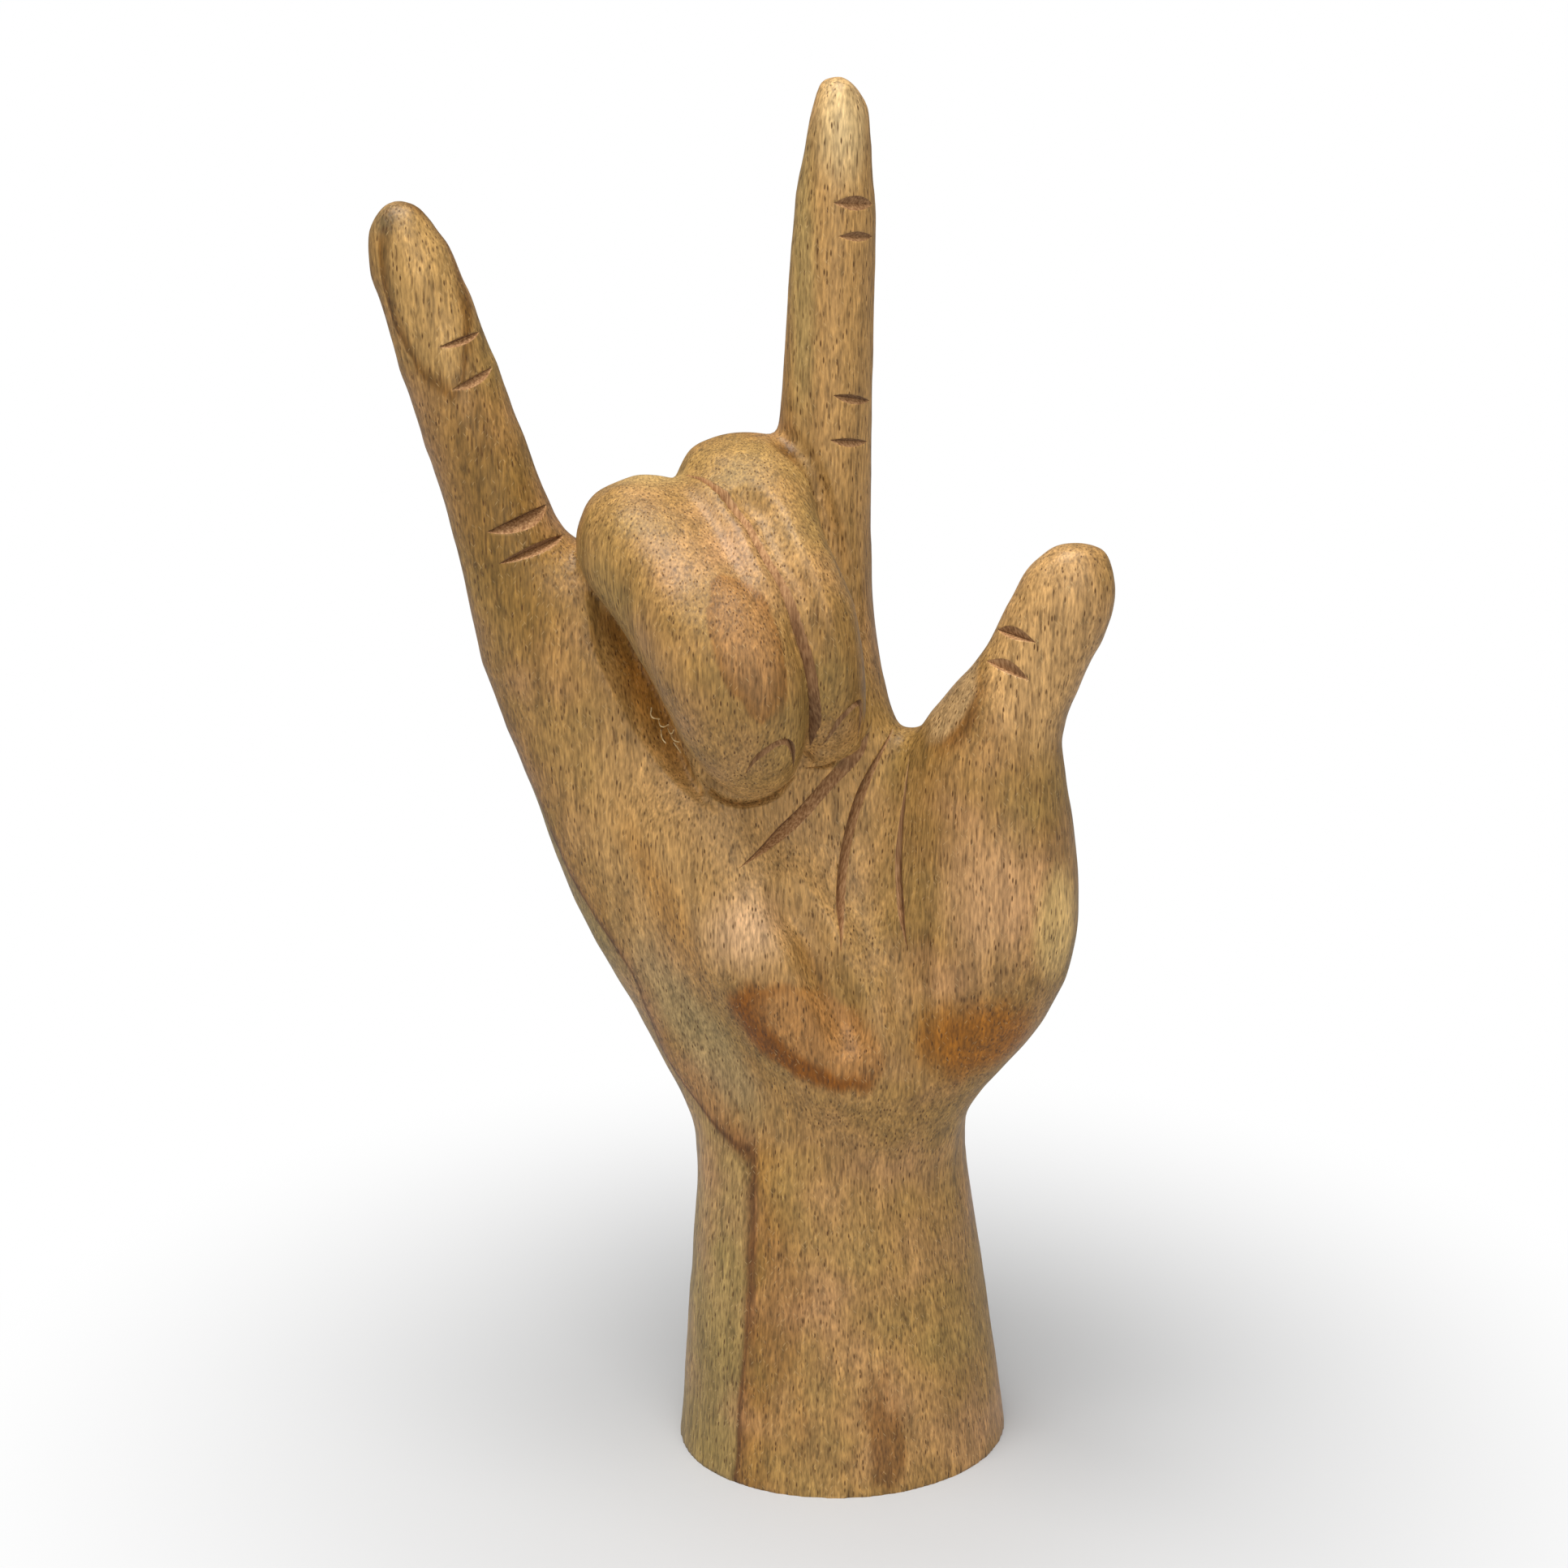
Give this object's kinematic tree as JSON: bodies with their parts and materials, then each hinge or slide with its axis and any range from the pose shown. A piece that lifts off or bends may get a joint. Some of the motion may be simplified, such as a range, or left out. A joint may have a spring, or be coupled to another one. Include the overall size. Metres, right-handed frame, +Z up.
{
  "type": "hand gesture sculpture",
  "caption": "Carved wooden right hand standing on its cut wrist, palm to the front, with thumb, index and little finger held out and the fingers between them folded onto the palm.",
  "frame": {"origin": "middle of the wrist's flat cut face, which stands on the table", "axes": "+Z up along the forearm, -Y out of the palm towards the viewer, +X to the thumb side"},
  "size_m": [0.1531, 0.0783, 0.3037],
  "materials": {
    "carved_wood": "hand carved and sanded, satin wax"
  },
  "bodies": {
    "root": {"wrist_base": "carved_wood", "palm": "carved_wood", "thumb": "carved_wood", "index_finger": "carved_wood", "middle_finger": "carved_wood", "ring_finger": "carved_wood", "little_finger": "carved_wood"}
  },
  "joints": []
}
